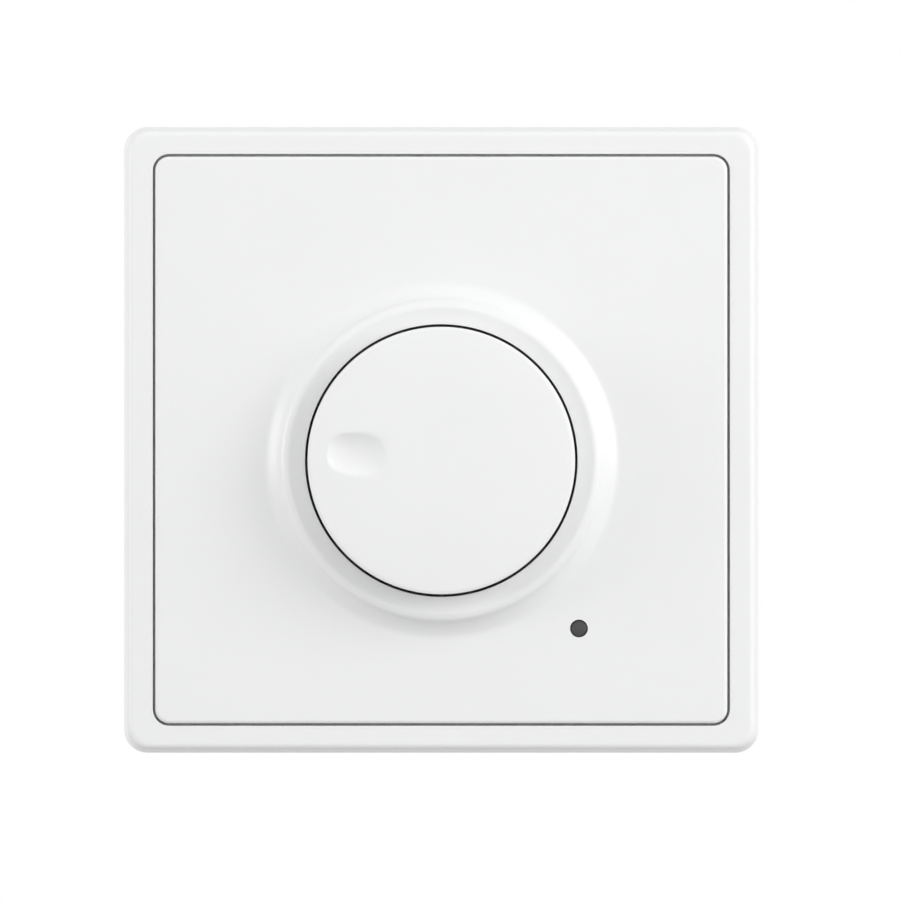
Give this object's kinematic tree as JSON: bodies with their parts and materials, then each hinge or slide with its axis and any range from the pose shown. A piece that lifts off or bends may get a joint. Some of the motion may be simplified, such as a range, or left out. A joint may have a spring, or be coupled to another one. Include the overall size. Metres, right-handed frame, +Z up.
{
  "type": "dimmer switch",
  "caption": "Square flush wall dimmer: push-and-turn round knob with a finger dimple in a raised collar, indicator lens, steel yoke with claws and a wired rear housing.",
  "frame": {"origin": "centre of the frame on the wall plane, which the frame's rear rim and the yoke's rear face touch", "axes": "+Z up, -Y out of the wall towards the room, +Y into the wall box, +X to the right as seen from the room"},
  "size_m": [0.086, 0.0413, 0.0848],
  "materials": {
    "white_plastic": "smooth moulded, half gloss",
    "smoked_lens": "smoked, polished",
    "zinc_steel": "zinc plated",
    "bright_steel": "bright",
    "spring_steel": "plain",
    "grey_plastic": "matt moulded",
    "black_plastic": "matt moulded",
    "ivory_plastic": "matt moulded",
    "brass": "turned",
    "copper": "bright",
    "carbon_track": "matt",
    "board": "lacquered",
    "aluminium": "plain",
    "ferrite": "sintered",
    "yellow_plastic": "moulded",
    "red_plastic": "dipped",
    "blue_glaze": "glazed",
    "lamp_plastic": "clear"
  },
  "bodies": {
    "mechanism": {"frame": "white_plastic", "centre_plate": "white_plastic", "indicator_lens": "smoked_lens", "yoke": "zinc_steel", "claw_screws": "zinc_steel", "front_cover": "grey_plastic", "housing": "grey_plastic", "pot_bushing": "brass", "bush_nut": "zinc_steel", "pot_case": "bright_steel", "pot_track": "carbon_track", "switch_case": "black_plastic", "switch_contacts": "copper", "switch_spring": "spring_steel", "circuit_board": "board", "heat_sink": "aluminium", "triac": "black_plastic", "triac_clip": "spring_steel", "choke_core": "ferrite", "choke_winding": "copper", "suppressor_capacitor": "yellow_plastic", "timing_capacitor": "red_plastic", "resistors": "black_plastic", "diac": "blue_glaze", "led": "lamp_plastic", "terminal_line": "brass", "terminal_load": "brass", "terminal_screws": "zinc_steel"},
    "rotor": {"pot_rotor": "black_plastic", "pot_wiper": "brass"},
    "knob": {"knob": "white_plastic", "knob_clip": "spring_steel", "pot_shaft": "bright_steel"},
    "switch_slider": {"switch_plunger": "ivory_plastic", "switch_bridge": "copper"},
    "claw_left": {"claw_left": "zinc_steel"},
    "claw_right": {"claw_right": "zinc_steel"}
  },
  "joints": [
    {"name": "knob_turn", "type": "hinge", "parent": "mechanism", "child": "rotor", "pos_m": [0, 0, -0.0028], "axis": [0, 1, 0], "range_deg": [-64.4, 235.6]},
    {"name": "knob_push", "type": "slide", "parent": "rotor", "child": "knob", "axis": [0, 1, 0], "range_m": [0, 0.0015], "stiffness_N_per_m": 1500, "springref_m": -0.002},
    {"name": "switch_travel", "type": "slide", "parent": "mechanism", "child": "switch_slider", "axis": [0, 1, 0], "range_m": [0, 0.0015], "deforming": ["switch_spring"]},
    {"name": "claw_left_swing", "type": "hinge", "parent": "mechanism", "child": "claw_left", "pos_m": [-0.0246, 0.0032, 0], "axis": [0, 0, 1], "range_deg": [0, 25]},
    {"name": "claw_right_swing", "type": "hinge", "parent": "mechanism", "child": "claw_right", "pos_m": [0.0246, 0.0032, 0], "axis": [0, 0, -1], "range_deg": [0, 25]}
  ],
  "couplings": [
    {"joint": "switch_travel", "follows": "knob_push", "ratio": 1}
  ]
}
